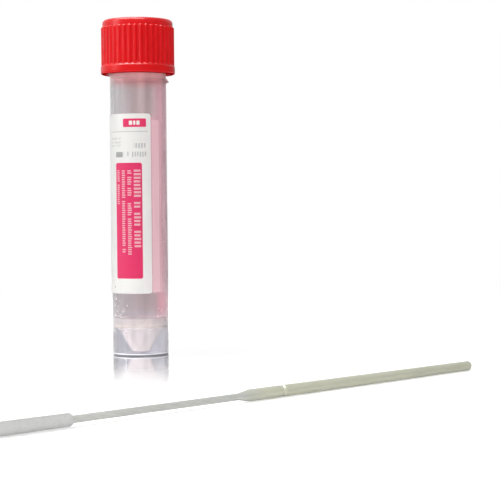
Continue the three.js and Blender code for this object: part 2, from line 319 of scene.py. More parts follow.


# %% [markdown]
# Frosted polypropylene is clear plastic moulded in an etched mould. It lets light through but blurs
# what lies behind. Its principled shader passes most light, and a weak absorption in its volume
# darkens the edges, where the line of sight runs along the wall. Where the moulding is thick or wet
# it is milky, so there the shader passes less light. `PLACES` names those parts by where they lie, and
# with them the places of painted light: a red-pink tint under the cap is painted reflected light from
# the red cap, and a pink tint on the right-hand side and in the window beside the label is painted
# light from the pink back of the label. The plastic at the cap's edge, in the window and at the right
# edge is made milky, which brightens that painted light. No light gets under the rim it stands on, so
# its sole is painted dark as shade. Faint upright streaks are the mould's flow lines.

# %% Frosted polypropylene
FROST_GRAIN = 0.35
STREAK_WIDTH = 2.4
STREAK_LENGTH = 60
FROST_ABSORPTION = 12.0
FROST_HAZE = 0.04
PLACES = {  # what is read, and where the value is 0 and where it is 1, in mm
    "right half": ("x", -6.5, 1.0),
    "right edge": ("x", 3.6, 6.6),
    "behind": ("y", 5.6, 6.5),
    "under the rim's top": ("z", 0.78, 0.62),
    "over the rim's foot": ("z", 0.33, 0.47),
    "under the shoulder": ("z", 10.5, 8.2),
    "over the root's foot": ("z", 7.0, 8.0),
    "under the root's top": ("z", 11.8, 10.8),
    "over the cone": ("z", 8.0, 14.0),
    "over the label's foot": ("z", 17.6, 18.2),
    "under the label's top": ("z", 69.3, 68.7),
    "under the cap": ("z", 76.0, 80.5),
    "at the cap's edge": ("z", 77.4, 80.3),
    "right of the label": ("x", 3.2, 4.4),
    "left of the far edge": ("x", 6.5, 5.9),
    "over the strip's foot": ("z", 17.7, 18.5),
    "under the strip's top": ("z", 67.8, 67.0),
    "in front": ("y", 0.0, -2.0),
    "skirt": ("r", 6.6, 7.0),
    "ridge": ("r", 8.2, 8.5),
}
frosted, tree, output = finish_tree("frosted_polypropylene")
part = add(tree, "SeparateXYZ", [coordinates(tree, axis)]).outputs
level = add(tree, "CombineXYZ", [part["X"], part["Y"]])
radius = add(tree, "VectorMath LENGTH", [level]).outputs["Value"]
reads = {"x": part["X"], "y": part["Y"], "z": part["Z"], "r": radius}
at = {}
for title, (what, low, high) in PLACES.items():
    at[title] = add(tree, "MapRange", {
        "Value": reads[what], "From Min": low * MM, "From Max": high * MM,
    }, interpolation_type="SMOOTHSTEP")

flow = patches(tree, STREAK_WIDTH, stretch=(1, 1, STREAK_WIDTH / STREAK_LENGTH))
thin = add(tree, "MapRange", {"Value": flow, "From Min": 0.35, "From Max": 0.65})
shade = layered(tree, "#eae8e9", [(thin, "#ffffff")])
foot = layered(tree, "#fff8f0", [(at["skirt"], "#ededf3")])
# Painted light: the right-hand half is tinted pink, more strongly at the right edge, for light from the
# pink back of the label.
low_wall = layered(tree, "#f3eff1", [(at["right half"], "#ebdfe2"), (at["right edge"], "#ffd3de")])
high_wall = layered(tree, "#fcfafb", [(at["right half"], "#f8ebec"), (at["right edge"], "#ffdfe7")])
# Painted reflected light: the neck under the cap is tinted red-pink (#ffc8ca) for the light of the red
# cap.
moulded = layered(tree, foot, [
    (at["over the cone"], low_wall), (at["over the label's foot"], high_wall),
    (at["under the cap"], "#ffc8ca"),
])
etched = add(tree, "VectorMath MULTIPLY", [moulded, shade])
glued = all_of(tree, at["behind"], at["over the label's foot"], at["under the label's top"])
# Painted light: the window of bare wall in front of the label's far edge is pink (#ffdde4) and milky, for
# the lit pink back of the label.
window = all_of(tree, *[at[title] for title in (
    "in front", "right of the label", "left of the far edge", "over the strip's foot",
    "under the strip's top",
)])
rim = all_of(tree, at["under the rim's top"], at["over the rim's foot"])
# Painted shade: the sole below the rim's foot is tinted dark grey (#6c6c72).
sole = add(tree, "Math SUBTRACT", [1.0, at["over the rim's foot"]])
tint = layered(tree, etched, [
    (glued, "#ffffff"), (window, "#ffdde4"), (rim, "#e9e9ee"), (sole, "#6c6c72"),
])

root = all_of(tree, at["over the root's foot"], at["under the root's top"])
inner = add(tree, "Math SUBTRACT", [1.0, at["skirt"]])
cone = all_of(tree, inner, at["under the shoulder"])
shoulder = all_of(tree, inner, at["under the root's top"])
# The milky shares at the cap's edge, in the window and at the right edge brighten the painted light there;
# the sole's share shows its painted shade.
MILKY_PARTS = [  # where, and the share of light that doesn't pass
    (rim, 0.8), (sole, 0.8), (root, 0.15), (cone, 0.9), (shoulder, 0.65), (at["ridge"], 0.4),
    (at["at the cap's edge"], 0.5), (window, 0.5), (at["right edge"], 0.22),
]
milky = FROST_HAZE
for mask, share in MILKY_PARTS:
    milky = add(tree, "Math MAXIMUM", [milky, all_of(tree, mask, share)])
clear = add(tree, "Math SUBTRACT", [1.0, milky])

plastic = add(tree, "BsdfPrincipled", {
    "Base Color": tint, **moulded_skin(tree, (FROST_GRAIN,), 0.08, 0.2, 0.1),
    "IOR": 1.49, "Transmission Weight": clear,
})
rays = add(tree, "LightPath").outputs
passing = add(tree, "BsdfTransparent", {"Color": linear("#fcfafb")})
through = add(tree, "MixShader", {0: rays["Is Shadow Ray"], 1: plastic, 2: passing})
tree.links.new(through.outputs[0], output.inputs["Surface"])
inside = add(tree, "VolumeAbsorption", {"Color": linear("#b7a3ab"), "Density": FROST_ABSORPTION})
tree.links.new(inside.outputs[0], output.inputs["Volume"])
print("finish:", frosted.name)

# %% [markdown]
# The cap is coloured polypropylene straight from a satin mould. A little light enters the plastic
# before it comes back, which keeps the shadows between the ribs red instead of black, and the satin
# skin spreads each highlight into a soft pale stripe. The underside of its open edge is left matt,
# mirrors nothing, and is painted a darker red as shade.

# %% Satin red polypropylene, and a matt one with painted shade
SATIN_GRAIN = 0.25
SWIRL = 6
centre_of_cap = (axis.x, axis.y, (cap_low.z + cap_high.z) / 2)


def red_polypropylene(name, colours, smooth, rough, shine):
    """Polypropylene between two colours and two roughnesses, with how strongly it mirrors."""
    skin = (SATIN_GRAIN, 1.0, centre_of_cap)
    made, tree, output = finish_tree(name)
    plastic = add(tree, "BsdfPrincipled", {
        "Base Color": mottled(tree, colours, SWIRL, 2.0, centre_of_cap),
        **moulded_skin(tree, skin, smooth, rough, 0.2), "IOR": 1.49, "Specular IOR Level": shine,
        "Subsurface Weight": 0.35, "Subsurface Radius": (1.0, 0.1, 0.08), "Subsurface Scale": 1.2 * MM,
    })
    tree.links.new(plastic.outputs[0], output.inputs["Surface"])
    return made


satin = red_polypropylene("satin_red_polypropylene", ("#da0a12", "#e40f17"), 0.26, 0.38, 0.3)
# Painted shade: the underside's red (#96060c to #a0080e) is darker than the satin's.
shaded_underside_finish = red_polypropylene("matt_red_polypropylene_painted_shade", ("#96060c", "#a0080e"), 0.5, 0.6, 0.0)
print("finishes:", satin.name, "and", shaded_underside_finish.name)

# %% [markdown]
# The sealing ring is moulded silicone: off-white, matt and a little waxy.

# %% White silicone
silicone = plain_finish("white_silicone", ("#e4e2dc", "#efede8"), (1.5, 3.0), {
    "Roughness": 0.6, "IOR": 1.41, "Subsurface Weight": 0.2, "Subsurface Scale": 1.0 * MM,
})
print("finish:", silicone.name)

# %% [markdown]
# The medium is water with salts and a pink indicator, and is a little cloudy. It passes hardly any
# light in so thick a layer, so its pale colour fills the cone evenly.

# %% Pink transport medium
liquid = plain_finish("pink_transport_medium", ("#f6e6e6", "#fcf0f0"), (3,), {
    "Roughness": 0.04, "IOR": 1.34, "Transmission Weight": 0.05,
})
print("finish:", liquid.name)

# %% [markdown]
# The label is coated paper, printed before it was cut. Its print is drawn in the label's own flat
# map, in millimetres: u runs from the right-hand edge round the tube and v up from the foot. Every
# printed field is one rounded rectangle, so one node group does them all. Lines of small print are
# rows of plain dashes of uneven length, with a gap now and then, and spell nothing.

# %% Node groups for print
PRINT_EDGE = 0.04
PAPER_MAP = "label_mm"


def shader_group(name, inputs):
    """A shader node group with named number inputs and one number output."""
    tree = bpy.data.node_groups.new(name, "ShaderNodeTree")
    for title in inputs:
        tree.interface.new_socket(title, in_out="INPUT", socket_type="NodeSocketFloat")
    tree.interface.new_socket("Mask", in_out="OUTPUT", socket_type="NodeSocketFloat")
    return tree, add(tree, "NodeGroupInput").outputs, add(tree, "NodeGroupOutput").inputs[0]


field, given, end = shader_group("printed_field", ["u", "v", "left", "right", "low", "high", "corner"])
sides = []
for place, near, far in (("u", "left", "right"), ("v", "low", "high")):
    span = add(field, "Math SUBTRACT", [given[far], given[near]])
    middle = add(field, "Math ADD", [given[far], given[near]])
    centre = add(field, "Math MULTIPLY", [middle, 0.5])
    off = add(field, "Math SUBTRACT", [given[place], centre])
    size = add(field, "Math ABSOLUTE", [off])
    reach = add(field, "Math MULTIPLY", [span, 0.5])
    core = add(field, "Math SUBTRACT", [reach, given["corner"]])
    beyond = add(field, "Math SUBTRACT", [size, core])
    sides.append(add(field, "Math MAXIMUM", [beyond, 0.0]))
pair = add(field, "CombineXYZ", sides)
away = add(field, "VectorMath LENGTH", [pair]).outputs["Value"]
edge = add(field, "Math SUBTRACT", [away, given["corner"]])
mask = add(field, "MapRange", {"Value": edge, "From Min": PRINT_EDGE, "From Max": -PRINT_EDGE})
field.links.new(mask.outputs[0], end)
print("field group:", len(field.nodes), "nodes")

# %% [markdown]
# A column of dashes is a field multiplied by a second mask. Along v it counts the dashes, and a
# white noise of that count makes some narrower and drops about one in eight, as gaps between words.

# %% Node group for a column of dashes
dashes, given, end = shader_group("dash_column", [
    "u", "v", "left", "right", "low", "high", "pitch", "seed",
])
WORD_GAPS = 0.12
DASH_SHARE = 0.56
DASH_TRIM = 0.22
count = add(dashes, "Math DIVIDE", [given["v"], given["pitch"]])
number = add(dashes, "Math FLOOR", [count])
draw = add(dashes, "CombineXYZ", [number, given["seed"]])
chance = add(dashes, "TexWhiteNoise", {"Vector": draw}, noise_dimensions="2D")
second = add(dashes, "TexWhiteNoise", {
    "Vector": add(dashes, "VectorMath ADD", [draw, (7.0, 3.0, 0.0)]),
}, noise_dimensions="2D")
kept = add(dashes, "Math GREATER_THAN", [chance.outputs["Value"], WORD_GAPS])
within = add(dashes, "Math FRACT", [count])
ink = add(dashes, "Math LESS_THAN", [within, DASH_SHARE])
span = add(dashes, "Math SUBTRACT", [given["right"], given["left"]])
trim = add(dashes, "Math MULTIPLY", [second.outputs["Value"], DASH_TRIM])
cut = add(dashes, "Math MULTIPLY", [trim, span])
start = add(dashes, "Math ADD", [given["left"], cut])
column = add(dashes, "Group", {
    "u": given["u"], "v": given["v"], "left": start, "right": given["right"],
    "low": given["low"], "high": given["high"], "corner": 0.0,
}, node_tree=field)
both = add(dashes, "Math MULTIPLY", [ink, kept])
mask = add(dashes, "Math MULTIPLY", [both, column])
dashes.links.new(mask.outputs[0], end)
print("dash group:", len(dashes.nodes), "nodes")

# %% [markdown]
# With those two groups the whole print is a list. Each entry says which ink it is, and where. The
# free margin of the paper comes first, painted a lighter, pinker white than the rest as painted light.
# The magenta block and its white columns run down the front, with grey small print above them.

# %% Label paper and its print
WHITE, MAGENTA, GREY, DARK = "#f4f3ef", "#e4326a", "#a9aaa6", "#8c8d8b"
FIELDS = [  # ink, left, right, low, high, corner
    # Painted light: the free margin at the right-hand edge is lighter and pinker than the paper.
    ("#fdf3f2", -1.0, 2.5, -1.0, 60.0, 0.0),
    (MAGENTA, 2.65, 10.95, 4.3, 37.2, 0.6),
    (MAGENTA, 1.35, 8.15, 47.3, 49.7, 0.35),
    (WHITE, 3.2, 4.1, 47.9, 49.1, 0.2),
    (WHITE, 4.4, 5.0, 47.9, 49.1, 0.2),
    (WHITE, 5.3, 6.3, 47.9, 49.1, 0.2),
    ("#cacac6", 0.8, 13.4, 45.95, 46.15, 0.05),
    (GREY, 8.35, 10.9, 38.8, 40.3, 0.2),
    (GREY, 11.9, 12.3, 1.6, 2.1, 0.15),
]
COLUMNS = [  # ink, left, right, low, high, pitch, seed
    (WHITE, 2.85, 5.0, 13.0, 35.2, 1.02, 1),
    (WHITE, 5.7, 6.9, 11.1, 35.2, 0.62, 2),
    (WHITE, 7.65, 8.7, 11.6, 35.2, 0.62, 3),
    (WHITE, 9.55, 10.4, 25.3, 35.2, 0.58, 4),
]
ROWS = [  # the same, lying down: ink, low, high, left, right, pitch, seed
    (DARK, 41.2, 42.7, 1.35, 4.9, 0.8, 5),
    (DARK, 38.8, 40.3, 1.1, 8.0, 0.72, 6),
    (GREY, 43.8, 44.4, 9.1, 13.3, 0.5, 7),
    (GREY, 42.7, 43.3, 9.1, 13.3, 0.5, 8),
    (GREY, 41.8, 42.4, 9.1, 13.3, 0.5, 9),
]
paper, tree, output = finish_tree("coated_label_paper")
flat = add(tree, "SeparateXYZ", [add(tree, "UVMap", uv_map=PAPER_MAP)])
across, upward = flat.outputs["X"], flat.outputs["Y"]
face = mottled(tree, ("#ecebe8", "#f4f2ee"), 0.8, 3.0)
for group, way, last_facts, printed in (
    (field, (across, upward), ["corner"], FIELDS),
    (dashes, (across, upward), ["pitch", "seed"], COLUMNS),
    (dashes, (upward, across), ["pitch", "seed"], ROWS),
):
    names = ["u", "v", "left", "right", "low", "high", *last_facts]
    for ink, *facts in printed:
        mask = add(tree, "Group", dict(zip(names, (*way, *facts))), node_tree=group)
        face = layered(tree, face, [(mask, ink)])
PAPER_BODY = {
    "IOR": 1.45, "Subsurface Weight": 0.6, "Subsurface Radius": (1.0, 0.9, 0.9),
    "Subsurface Scale": 0.3 * MM,
}
coating = add(tree, "BsdfPrincipled", {"Base Color": face, "Roughness": 0.42, **PAPER_BODY})
tree.links.new(coating.outputs[0], output.inputs["Surface"])
print("finish:", paper.name, "with", len(FIELDS) + len(COLUMNS) + len(ROWS), "printed parts")

# %% [markdown]
# The glued face of the label is seen through the tube. Thin paper shows the ink of its other side,
# so this face is a pale pink.

# %% Glued back of the label
backing = plain_finish("glued_label_back", ("#f6c3ce", "#fcdae0"), (2, 2.0, axis, (1, 1, 0.2)), {
    "Roughness": 0.6, **PAPER_BODY,
})
print("finish:", backing.name)

# %% [markdown]
# The swab's stick is moulded polystyrene. Where it is thin it looks whiter, and where it is thick it
# has the grey-green cast of the bare resin. Its finish reads a map of its own: the distance from the
# tip in millimetres. The tip is nylon flock, white fibres that swallow highlights.

# %% Swab finishes
STICK_MAP = "stick_mm"
THICK_FROM, THICK_TO = 66.0, 74.0
stick_plastic, tree, output = finish_tree("moulded_polystyrene")
along = add(tree, "SeparateXYZ", [add(tree, "UVMap", uv_map=STICK_MAP)]).outputs["X"]
share = add(tree, "MapRange", {"Value": along, "From Min": THICK_FROM, "From Max": THICK_TO})
thin = mottled(tree, ("#b9bab6", "#c8c9c4"), 7)
thick = mottled(tree, ("#bfc0ab", "#cdceba"), 7)
plastic = add(tree, "BsdfPrincipled", {
    "Base Color": layered(tree, thin, [(share, thick)]), "Roughness": 0.36, "IOR": 1.55,
    "Subsurface Weight": 0.25, "Subsurface Radius": (1.0, 0.95, 0.8), "Subsurface Scale": 0.6 * MM,
})
tree.links.new(plastic.outputs[0], output.inputs["Surface"])

flock = plain_finish("nylon_flock", ("#c7c7c6", "#dbdbda"), (0.6,), {
    "Roughness": 0.9, "IOR": 1.53, "Sheen Weight": 0.2, "Sheen Roughness": 0.5,
})
print("finishes:", stick_plastic.name, "and", flock.name)

# %% [markdown]
# # Shapes that follow a rule
# A screw thread is one ridge on a helix, outside the tube and inside the cap. On the real parts it
# is moulded with the wall, so here it is raised out of the wall's own faces: one closed skin, which
# clear plastic needs. For each point the tree works out how far round it is, and how high it lies
# above the turn of the helix below it, and moves the point in or out by the ridge's section. For the
# cap the section is upside down, which is what the input named `side` says.

# %% Tree for a screw thread
FULL_TURN = 2 * math.pi
WALL_REACH = 0.35
thread, size, end = shape_tree("screw_thread", ["axis"], [
    "wall", "lead", "start", "start angle", "turns", "proud", "flank", "crest", "root", "run in", "side",
])
part, level, radius, angle = polar(thread, size["axis"])
from_start = add(thread, "Math SUBTRACT", [angle, size["start angle"]])
round_it = add(thread, "Math WRAP", [from_start, FULL_TURN, 0.0])
share = add(thread, "Math DIVIDE", [round_it, FULL_TURN])
height = add(thread, "Math SUBTRACT", [part["Z"], size["start"]])
climbed = add(thread, "Math DIVIDE", [height, size["lead"]])
above = add(thread, "Math SUBTRACT", [climbed, share])
sided = add(thread, "Math MULTIPLY", [above, size["side"]])
whole = add(thread, "Math FLOOR", [sided])
rest = add(thread, "Math SUBTRACT", [sided, whole])
depth = add(thread, "Math MULTIPLY", [rest, size["lead"]])
turn = add(thread, "Math MULTIPLY_ADD", [whole, size["side"], share])
left = add(thread, "Math SUBTRACT", [size["turns"], turn])
nearest = add(thread, "Math MINIMUM", [turn, left])
grown = add(thread, "MapRange", {"Value": nearest, "From Max": size["run in"]})
rise = add(thread, "MapRange", {"Value": depth, "From Max": size["flank"]})
fall = add(thread, "MapRange", {"Value": depth, "From Min": size["root"], "From Max": size["crest"]})
section = add(thread, "Math MINIMUM", [rise, fall])
full = add(thread, "Math MULTIPLY", [section, grown])
reach = add(thread, "Math MULTIPLY", [full, size["proud"]])
on_wall = add(thread, "FunctionNodeCompare EQUAL", {
    "A": radius, "B": size["wall"], "Epsilon": WALL_REACH,
}, data_type="FLOAT")
ridged = pushed(thread, size["Geometry"], on_wall, level, reach)
end_tree(thread, size["Material"], end, ridged.outputs[0])
print("thread tree:", len(thread.nodes), "nodes")

# %% [markdown]
# The ribs of the cap are forty half-sunk rods with rounded tops, in a ring. The same idea works: a
# point on the wall moves out to the surface of the nearest rod wherever that stands proud, and a
# smooth maximum leaves the small fillet that the mould has at each rib's foot.

# %% Tree for the cap's ribs
ribbing, size, end = shape_tree("grip_ribs", ["axis"], [
    "count", "rib radius", "ring radius", "inner", "low", "high", "fillet",
])
part, level, radius, angle = polar(ribbing, size["axis"])
pitch = add(ribbing, "Math DIVIDE", [FULL_TURN, size["count"]])
half = add(ribbing, "Math MULTIPLY", [pitch, 0.5])
less = add(ribbing, "Math MULTIPLY", [half, -1.0])
swing = add(ribbing, "Math WRAP", [angle, half, less])
sine = add(ribbing, "Math SINE", [swing])
cosine = add(ribbing, "Math COSINE", [swing])
aside = add(ribbing, "Math MULTIPLY", [sine, size["ring radius"]])
toward = add(ribbing, "Math MULTIPLY", [cosine, size["ring radius"]])
dome = add(ribbing, "Math SUBTRACT", [size["high"], size["rib radius"]])
over = add(ribbing, "Math SUBTRACT", [part["Z"], dome])
past = add(ribbing, "Math MAXIMUM", [over, 0.0])
square = add(ribbing, "Math POWER", [size["rib radius"], 2.0])
past_two = add(ribbing, "Math POWER", [past, 2.0])
aside_two = add(ribbing, "Math MULTIPLY", [aside, aside])
room = add(ribbing, "Math SUBTRACT", [square, past_two])
spare = add(ribbing, "Math SUBTRACT", [room, aside_two])
clipped = add(ribbing, "Math MAXIMUM", [spare, 0.0])
bulge = add(ribbing, "Math SQRT", [clipped])
rod = add(ribbing, "Math ADD", [toward, bulge])
real = add(ribbing, "Math GREATER_THAN", [spare, 0.0])
surface = add(ribbing, "Math MULTIPLY", [rod, real])
proud = add(ribbing, "Math SMOOTH_MAX", [radius, surface, size["fillet"]])
reach = add(ribbing, "Math SUBTRACT", [proud, radius])
outer = add(ribbing, "FunctionNodeCompare", [radius, size["inner"]], data_type="FLOAT")
raised = add(ribbing, "FunctionNodeCompare", [part["Z"], size["low"]], data_type="FLOAT")
both = add(ribbing, "FunctionNodeBooleanMath AND", [outer, raised])
ribbed = pushed(ribbing, size["Geometry"], both, level, reach)
end_tree(ribbing, size["Material"], end, ribbed.outputs[0])
print("rib tree:", len(ribbing.nodes), "nodes")

# %% [markdown]
# # The pieces
# The tube is drawn once as a section: round the flat tip of the cone, up inside the skirt, round the
# foot, up the outside to the lip, down the bore and into the cone again. The wall is a millimetre
# thick everywhere, as on any moulding, and every edge is rounded. The stretch that carries the
# thread gets closely spaced rings, because the tree can only bend what has points.

# %% Tube body
FOOT_RADIUS = 8.0
NECK_RADIUS = 8.1
TUBE_WALL = 1.0
CONE_HALF_ANGLE = math.radians(30)
CONE_TIP_RADIUS = 2.5
CONE_TIP_CLEARANCE = 1.3
THREAD_LEAD = 5.0
THREAD_DROP = 15.6
THREAD_START = math.radians(-14)
THREAD_TURNS = 2.4
THREAD_PROUD = 0.7
THREAD_RUN_IN = 12 / 360
TUBE_SEGMENTS = 192
RING_STEP = 0.125

cone_slope = math.tan(CONE_HALF_ANGLE)
cone_wall = TUBE_WALL / math.cos(CONE_HALF_ANGLE)
cone_floor = CONE_TIP_CLEARANCE + TUBE_WALL
skirt_inner = FOOT_RADIUS - TUBE_WALL
bore_top = NECK_RADIUS - TUBE_WALL


def cone_radius(z, wall=0.0):
    """Radius of the cone's outside at a height, less the wall for its inside."""
    return CONE_TIP_RADIUS + (z - CONE_TIP_CLEARANCE) * cone_slope - wall


def cone_height(r, wall=0.0):
    """Height at which the cone, or its inside with the wall given, reaches a radius."""
    return CONE_TIP_CLEARANCE + (r + wall - CONE_TIP_RADIUS) / cone_slope


thread_low = TUBE_TOP - THREAD_DROP
section = rounded([
    (0, CONE_TIP_CLEARANCE, 0),
    (CONE_TIP_RADIUS, CONE_TIP_CLEARANCE, 0.3),
    (skirt_inner, cone_height(skirt_inner), 0.4),
    (skirt_inner, 0, 0.25),
    (FOOT_RADIUS, 0, 0.4),
    (NECK_RADIUS, TUBE_TOP, 0.3),
    (bore_top, TUBE_TOP, 0.2),
    (skirt_inner, cone_height(skirt_inner, cone_wall), 1.5),
    (cone_radius(cone_floor, cone_wall), cone_floor, 0.5),
    (0, cone_floor, 0),
])
section = spaced(section, thread_low - 0.5, TUBE_TOP - 1.5, RING_STEP)
tube = turned("frosted_tube", section, TUBE_SEGMENTS)
grow(tube, thread, {
    "axis": axis, "wall": NECK_RADIUS, "lead": THREAD_LEAD, "start": thread_low,
    "start angle": THREAD_START, "turns": THREAD_TURNS, "proud": THREAD_PROUD,
    "flank": 0.2, "crest": 0.5, "root": 1.6, "run in": THREAD_RUN_IN, "side": 1.0,
    "Material": frosted,
})
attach(tube, "tube")
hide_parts("tube_body")
print("tube:", len(tube.data.polygons), "faces")

# %% [markdown]
# The cap is another section in the same style: the inside with its ceiling, the open edge, the plain
# band with its small bevel, the wall that will carry the ribs, and the rounded rim. Twelve faces for
# each rib and its gap are enough for a smooth rod. The thread inside uses the thread tree upside down.

# %% Screw cap
THREAD_SIDE_GAP, FLANK_GAP = 0.3, 0.2
BAND_PROUD = 0.55
CAP_INNER = NECK_RADIUS + THREAD_PROUD + THREAD_SIDE_GAP
CAP_WALL = CAP_INNER + 1.0
CAP_BAND = CAP_WALL + BAND_PROUD
CAP_CEILING = CAP_TOP - 1.45
BAND_TOP = CAP_BOTTOM + 2.2
RIB_COUNT = 40
RIB_RADIUS = 0.5
RIB_SUNK = 0.1
RIB_TOP = CAP_TOP - 2.0
RIB_FACES = 12
DOWNWARD, EDGE_HEIGHT = -0.7, 0.3
CAP_THREAD_MARGIN, CAP_THREAD_ROOT = 0.5, 1.1
CAP_THREAD_HEADROOM = 4.05
CAP_THREAD_FACE = CAP_BOTTOM + CAP_THREAD_MARGIN + CAP_THREAD_ROOT
CAP_THREAD_TURNS = (CAP_CEILING - CAP_THREAD_HEADROOM - CAP_THREAD_FACE) / THREAD_LEAD
cap_lead_in = (CAP_THREAD_FACE + FLANK_GAP - thread_low) / THREAD_LEAD

section = rounded([
    (0, CAP_CEILING, 0),
    (CAP_INNER, CAP_CEILING, 0.3),
    (CAP_INNER, CAP_BOTTOM, 0.3),
    (CAP_BAND, CAP_BOTTOM, 0.6),
    (CAP_BAND, BAND_TOP, 0.3),
    (CAP_WALL, BAND_TOP + BAND_PROUD, 0.12),
    (CAP_WALL, CAP_TOP, 1.0),
    (0, CAP_TOP, 0),
])
section = spaced(section, CAP_BOTTOM + 0.35, CAP_CEILING - 0.5, 0.25)
section = spaced(section, RIB_TOP - 0.6, RIB_TOP + 0.1, 0.06)
cap = turned("red_screw_cap", section, RIB_COUNT * RIB_FACES)
grow(cap, ribbing, {
    "axis": axis, "count": float(RIB_COUNT), "rib radius": RIB_RADIUS,
    "ring radius": CAP_WALL - RIB_SUNK,
    "inner": CAP_WALL - 0.5, "low": BAND_TOP + 0.05, "high": RIB_TOP, "fillet": 0.12,
    "Material": satin,
})
grow(cap, thread, {
    "axis": axis, "wall": CAP_INNER, "lead": THREAD_LEAD, "start": CAP_THREAD_FACE,
    "start angle": THREAD_START + FULL_TURN * cap_lead_in, "turns": CAP_THREAD_TURNS,
    "proud": -THREAD_PROUD, "flank": 0.25, "crest": 0.5, "root": CAP_THREAD_ROOT, "run in": THREAD_RUN_IN,
    "side": -1.0, "Material": satin,
})
# The faces under the open edge get the darker red of painted shade.
cap.data.materials.append(shaded_underside_finish)
for face in cap.data.polygons:
    underside = face.normal.z < DOWNWARD and face.center.z < cap_low.z + EDGE_HEIGHT * MM
    face.material_index = 1 if underside else 0
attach(cap, "cap")
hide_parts("screw_cap")
print("cap:", len(cap.data.polygons), "faces,", f"{CAP_THREAD_TURNS:.2f} turns of thread inside")

# %% [markdown]
# The sealing ring is a flat ring with softened edges between the tube's lip and the cap.

# %% Sealing ring
RING_OVERHANG = 0.35
ring_low, ring_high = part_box("sealing_ring")
ring_outer = (ring_high.x - ring_low.x) / 2 / MM
ring_inner = bore_top - RING_OVERHANG
ring_bottom, ring_top = ring_low.z / MM, ring_high.z / MM
ring = turned("silicone_sealing_ring", rounded([
    (ring_inner, ring_bottom, 0.2),
    (ring_outer, ring_bottom, 0.2),
    (ring_outer, ring_top, 0.2),
    (ring_inner, ring_top, 0.2),
]), TUBE_SEGMENTS)
ring.data.materials.append(silicone)
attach(ring, "seal")
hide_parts("sealing_ring")
print("ring:", round(ring_inner, 2), "to", round(ring_outer, 2), "mm radius")

# %% [markdown]
# The label is a thin strip wrapped most of the way round. It is built as a grid that is bent round
# the tube, with its printed map laid on at the same time, and its corners cut round. A second skin
# inside it is the glued face, and the rim between them is the paper's cut edge.

# %% Label
GLUE, LABEL_THICKNESS = 0.05, 0.12
LABEL_START = math.radians(52.8)
LABEL_ARC = math.radians(245.6)
LABEL_CORNER = 0.8
COLUMNS_ROUND = 160
STEPS_UP = 24
CORNER_COLUMNS = 6
label_low, label_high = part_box("label")
LABEL_BOTTOM = label_low.z / MM
LABEL_HEIGHT = (label_high.z - label_low.z) / MM
glued_radius = NECK_RADIUS + GLUE
printed_radius = glued_radius + LABEL_THICKNESS
label_length = LABEL_ARC * printed_radius

quarter = [math.pi / 2 * i / CORNER_COLUMNS for i in range(CORNER_COLUMNS)]
ends = [LABEL_CORNER * (1 - math.cos(bend)) for bend in quarter]
middle = np.linspace(LABEL_CORNER, label_length - LABEL_CORNER, COLUMNS_ROUND)
distances = [*ends, *middle, *[label_length - distance for distance in reversed(ends)]]


def label_column(bm, radius, distance):
    """The points up the label at one distance from its right-hand edge, with their flat places."""
    short = max(0.0, LABEL_CORNER - min(distance, label_length - distance))
    inset = LABEL_CORNER - math.sqrt(LABEL_CORNER ** 2 - short ** 2)
    bend = LABEL_START + LABEL_ARC * (1 - distance / label_length)
    column = []
    for v in np.linspace(inset, LABEL_HEIGHT - inset, STEPS_UP + 1):
        spot = Vector((radius * math.cos(bend), radius * math.sin(bend), LABEL_BOTTOM + v))
        column.append((bm.verts.new(axis + spot * MM), (distance, v)))
    return column


def label_face(bm, flat_map, corners, skin):
    """One face of the label, with its place on the flat map."""
    made = bm.faces.new([vert for vert, _ in corners])
    made.material_index = skin
    for loop, (_, spot) in zip(made.loops, corners):
        loop[flat_map].uv = spot


bm = bmesh.new()
flat_map = bm.loops.layers.uv.new(PAPER_MAP)
front, back = [[label_column(bm, radius, distance) for distance in distances]
               for radius in (printed_radius, glued_radius)]
for near, far in zip(range(len(distances)), range(1, len(distances))):
    for j in range(STEPS_UP):
        for skin, sheet in enumerate((front, back)):
            corners = [sheet[near][j], sheet[far][j], sheet[far][j + 1], sheet[near][j + 1]]
            label_face(bm, flat_map, corners, skin)
    for j in (0, STEPS_UP):
        label_face(bm, flat_map, [front[near][j], back[near][j], back[far][j], front[far][j]], 0)
for i in (0, len(distances) - 1):
    for j in range(STEPS_UP):
        label_face(bm, flat_map, [front[i][j], front[i][j + 1], back[i][j + 1], back[i][j]], 0)
label = mesh_object("printed_label", bm)
for skin in (paper, backing):
    label.data.materials.append(skin)
label.data.set_sharp_from_angle(angle=math.radians(40))
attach(label, "tube")
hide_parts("label")
print(f"label: {label_length:.1f} by {LABEL_HEIGHT:.1f} mm")

# %% [markdown]
# Liquid creeps up the wall it wets, so its surface turns up at the edge. A few drops cling to the
# wall above it. They are one flattened bead repeated on random points of the bore, pressed flat
# against the wall, and they belong to the medium.

# %% Tree for clinging drops
SINKING = 1.8  # above 1, drops gather low
DROP_SHAPE = (0.45, 1.0, 1.15)
drops, size, end = shape_tree("clinging_drops", ["axis"], [
    "wall", "from angle", "to angle", "low", "high", "smallest", "largest",
], ["count", "seed"])
limits = [(size["from angle"], size["to angle"]), (0.0, 1.0), (size["smallest"], size["largest"])]
drawn = []
for index, (least, most) in enumerate(limits):
    seed = add(drops, "Math ADD", [size["seed"], float(index)])
    drawn.append(add(drops, "FunctionNodeRandomValue", {
        2: least, 3: most, "Seed": seed,
    }, data_type="FLOAT").outputs[1])
turn, lift, girth = drawn
sparse = add(drops, "Math POWER", [lift, SINKING])
height = add(drops, "MapRange", {"Value": sparse, "To Min": size["low"], "To Max": size["high"]})
outward = add(drops, "CombineXYZ", [add(drops, "Math " + way, [turn]) for way in ("COSINE", "SINE")])
level = add(drops, "VectorMath SCALE", {"Vector": outward, "Scale": size["wall"]})
raised = add(drops, "VectorMath ADD", [level, add(drops, "CombineXYZ", [None, None, height])])
